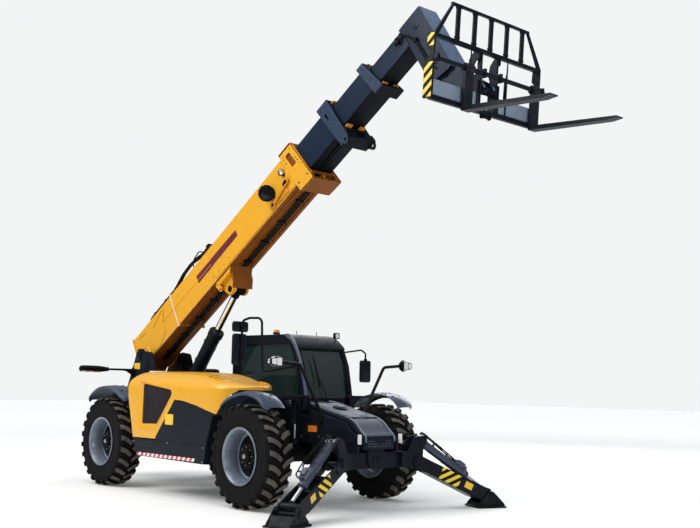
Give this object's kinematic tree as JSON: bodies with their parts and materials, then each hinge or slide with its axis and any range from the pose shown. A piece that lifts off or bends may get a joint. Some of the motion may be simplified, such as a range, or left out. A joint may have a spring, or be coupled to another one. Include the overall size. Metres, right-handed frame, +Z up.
{
  "type": "telehandler",
  "caption": "Four-section telescopic handler with fork carriage, cab on the left, engine pod on the right and two front stabilisers down.",
  "frame": {"origin": "middle of the bounding box, on the ground", "axes": "+X forward, +Y to the machine's left, +Z up"},
  "size_m": [8.8144, 3.6452, 5.9232],
  "materials": {
    "yellow_paint": "gloss",
    "dark_paint": "satin",
    "blue_grey_paint": "gloss",
    "light_grey_paint": "satin",
    "tyre_rubber": "matte",
    "cast": "satin",
    "chrome": "polished",
    "glass": "clear",
    "cloth": "woven",
    "black_plastic": "matte",
    "mesh": "matte",
    "lamp_plastic": "clear",
    "fork_steel": "satin",
    "engine_alloy": "cast"
  },
  "bodies": {
    "chassis": {"chassis_frame": "dark_paint", "counterweight": "dark_paint", "axle_housings": "cast", "fenders": "blue_grey_paint", "engine_bay": "dark_paint", "engine_block": "engine_alloy", "cab_shell": "dark_paint", "cab_glass": "glass", "seat": "cloth", "dashboard": "black_plastic", "side_tank": "black_plastic", "nose_cover": "blue_grey_paint", "stabiliser_beam": "dark_paint", "lamp_arms": "dark_paint", "lamps": "lamp_plastic", "mirrors": "black_plastic", "levelling_strut": "dark_paint"},
    "engine_hood": {"engine_hood": "yellow_paint", "hood_grille": "mesh"},
    "cab_door": {"cab_door": "dark_paint", "door_glass": "glass"},
    "knuckle_front_left": {"knuckle_front_left": "cast"},
    "wheel_front_left": {"rim_front_left": "light_grey_paint", "tyre_front_left": "tyre_rubber"},
    "knuckle_front_right": {"knuckle_front_right": "cast"},
    "wheel_front_right": {"rim_front_right": "light_grey_paint", "tyre_front_right": "tyre_rubber"},
    "knuckle_rear_left": {"knuckle_rear_left": "cast"},
    "wheel_rear_left": {"rim_rear_left": "light_grey_paint", "tyre_rear_left": "tyre_rubber"},
    "knuckle_rear_right": {"knuckle_rear_right": "cast"},
    "wheel_rear_right": {"rim_rear_right": "light_grey_paint", "tyre_rear_right": "tyre_rubber"},
    "boom_section_1": {"boom_section_1": "yellow_paint"},
    "boom_section_2": {"boom_section_2": "blue_grey_paint"},
    "boom_section_3": {"boom_section_3": "blue_grey_paint"},
    "boom_section_4": {"boom_section_4": "blue_grey_paint"},
    "lift_barrel": {"lift_barrel": "dark_paint"},
    "lift_rod": {"lift_rod": "chrome"},
    "carriage": {"carriage": "dark_paint", "load_guard": "dark_paint"},
    "fork_left": {"fork_left": "fork_steel"},
    "fork_right": {"fork_right": "fork_steel"},
    "stabiliser_leg_left": {"stabiliser_leg_left": "dark_paint"},
    "stabiliser_leg_right": {"stabiliser_leg_right": "dark_paint"},
    "stabiliser_foot_left": {"stabiliser_foot_left": "dark_paint"},
    "stabiliser_foot_right": {"stabiliser_foot_right": "dark_paint"},
    "stabiliser_barrel_left": {"stabiliser_barrel_left": "dark_paint"},
    "stabiliser_barrel_right": {"stabiliser_barrel_right": "dark_paint"},
    "stabiliser_rod_left": {"stabiliser_rod_left": "chrome"},
    "stabiliser_rod_right": {"stabiliser_rod_right": "chrome"}
  },
  "joints": [
    {"name": "steer_front_left", "type": "hinge", "parent": "chassis", "child": "knuckle_front_left", "pos_m": [0.46275, 0.84, 0.62], "axis": [0, 0, 1], "range_deg": [-35, 35]},
    {"name": "spin_front_left", "type": "hinge", "parent": "knuckle_front_left", "child": "wheel_front_left", "pos_m": [0.46275, 1.046, 0.62], "axis": [0, 1, 0], "continuous": true},
    {"name": "steer_front_right", "type": "hinge", "parent": "chassis", "child": "knuckle_front_right", "pos_m": [0.46275, -0.84, 0.62], "axis": [0, 0, 1], "range_deg": [-35, 35]},
    {"name": "spin_front_right", "type": "hinge", "parent": "knuckle_front_right", "child": "wheel_front_right", "pos_m": [0.46275, -1.046, 0.62], "axis": [0, 1, 0], "continuous": true},
    {"name": "steer_rear_left", "type": "hinge", "parent": "chassis", "child": "knuckle_rear_left", "pos_m": [-2.93725, 0.84, 0.62], "axis": [0, 0, 1], "range_deg": [-35, 35]},
    {"name": "spin_rear_left", "type": "hinge", "parent": "knuckle_rear_left", "child": "wheel_rear_left", "pos_m": [-2.93725, 1.046, 0.62], "axis": [0, 1, 0], "continuous": true},
    {"name": "steer_rear_right", "type": "hinge", "parent": "chassis", "child": "knuckle_rear_right", "pos_m": [-2.93725, -0.84, 0.62], "axis": [0, 0, 1], "range_deg": [-35, 35]},
    {"name": "spin_rear_right", "type": "hinge", "parent": "knuckle_rear_right", "child": "wheel_rear_right", "pos_m": [-2.93725, -1.046, 0.62], "axis": [0, 1, 0], "continuous": true},
    {"name": "hood_hinge", "type": "hinge", "parent": "chassis", "child": "engine_hood", "pos_m": [-1.43725, -0.372, 1.5], "axis": [-1, 0, 0], "range_deg": [0, 55]},
    {"name": "door_hinge", "type": "hinge", "parent": "chassis", "child": "cab_door", "pos_m": [-1.43725, 1.203, 1.4], "axis": [0, 0, 1], "range_deg": [0, 85]},
    {"name": "boom_lift", "type": "hinge", "parent": "chassis", "child": "boom_section_1", "pos_m": [-3.47552, 0, 1.87341], "axis": [0, -1, 0], "range_deg": [-34.4, 37.6]},
    {"name": "boom_extend_2", "type": "slide", "parent": "boom_section_1", "child": "boom_section_2", "axis": [0.8441, 0, 0.5361], "range_m": [-0.35, 3.2]},
    {"name": "boom_extend_3", "type": "slide", "parent": "boom_section_2", "child": "boom_section_3", "axis": [0.8441, 0, 0.5361], "range_m": [-0.35, 3.2]},
    {"name": "boom_extend_4", "type": "slide", "parent": "boom_section_3", "child": "boom_section_4", "axis": [0.8441, 0, 0.5361], "range_m": [-0.35, 3.2]},
    {"name": "carriage_tilt", "type": "hinge", "parent": "boom_section_4", "child": "carriage", "pos_m": [3.19351, 0, 4.74664], "axis": [0, -1, 0], "range_deg": [-75, 45]},
    {"name": "fork_slide_left", "type": "slide", "parent": "carriage", "child": "fork_left", "axis": [0, 1, 0], "range_m": [-0.54, 0.035]},
    {"name": "fork_slide_right", "type": "slide", "parent": "carriage", "child": "fork_right", "axis": [0, -1, 0], "range_m": [-0.16, 0.42]},
    {"name": "lift_barrel_swing", "type": "hinge", "parent": "chassis", "child": "lift_barrel", "pos_m": [-2.96725, 0, 0.93], "axis": [0, -1, 0], "range_deg": [-28.77, 31.45]},
    {"name": "lift_rod_slide", "type": "slide", "parent": "lift_barrel", "child": "lift_rod", "axis": [0.6438, 0, 0.7652], "range_m": [-0.6014, 0.6572]},
    {"name": "stabiliser_swing_left", "type": "hinge", "parent": "chassis", "child": "stabiliser_leg_left", "pos_m": [1.52075, 0.66, 0.59], "axis": [0.9367, -0.3502, 0], "range_deg": [-3, 46]},
    {"name": "foot_swivel_left", "type": "hinge", "parent": "stabiliser_leg_left", "child": "stabiliser_foot_left", "pos_m": [1.86395, 1.57794, 0.13], "axis": [0.9367, -0.3502, 0], "range_deg": [-15, 15]},
    {"name": "stabiliser_ram_swing_left", "type": "hinge", "parent": "chassis", "child": "stabiliser_barrel_left", "pos_m": [1.53826, 0.70683, 0.822], "axis": [0.9367, -0.3502, 0], "range_deg": [-3.04, 45.95]},
    {"name": "stabiliser_rod_slide_left", "type": "slide", "parent": "stabiliser_barrel_left", "child": "stabiliser_rod_left", "axis": [0.2888, 0.7726, -0.5654], "range_m": [-0.1858, 0.0131]},
    {"name": "stabiliser_swing_right", "type": "hinge", "parent": "chassis", "child": "stabiliser_leg_right", "pos_m": [1.52075, -0.66, 0.59], "axis": [-0.9367, -0.3502, 0], "range_deg": [-3, 46]},
    {"name": "foot_swivel_right", "type": "hinge", "parent": "stabiliser_leg_right", "child": "stabiliser_foot_right", "pos_m": [1.86395, -1.57794, 0.13], "axis": [-0.9367, -0.3502, 0], "range_deg": [-15, 15]},
    {"name": "stabiliser_ram_swing_right", "type": "hinge", "parent": "chassis", "child": "stabiliser_barrel_right", "pos_m": [1.53826, -0.70683, 0.822], "axis": [-0.9367, -0.3502, 0], "range_deg": [-3.04, 45.95]},
    {"name": "stabiliser_rod_slide_right", "type": "slide", "parent": "stabiliser_barrel_right", "child": "stabiliser_rod_right", "axis": [0.2888, -0.7726, -0.5654], "range_m": [-0.1858, 0.0131]}
  ],
  "couplings": [
    {"joint": "steer_front_right", "follows": "steer_front_left", "ratio": 1},
    {"joint": "steer_rear_right", "follows": "steer_rear_left", "ratio": 1},
    {"joint": "boom_extend_3", "follows": "boom_extend_2", "ratio": 1},
    {"joint": "boom_extend_4", "follows": "boom_extend_2", "ratio": 1},
    {"joint": "lift_barrel_swing", "follows": "boom_lift", "ratio": 0.835},
    {"joint": "lift_rod_slide", "follows": "boom_lift", "m_per_rad": 1},
    {"joint": "stabiliser_ram_swing_left", "follows": "stabiliser_swing_left", "ratio": 0.99774},
    {"joint": "stabiliser_rod_slide_left", "follows": "stabiliser_swing_left", "m_per_rad": -0.23015},
    {"joint": "stabiliser_ram_swing_right", "follows": "stabiliser_swing_right", "ratio": 0.99774},
    {"joint": "stabiliser_rod_slide_right", "follows": "stabiliser_swing_right", "m_per_rad": -0.23015}
  ]
}
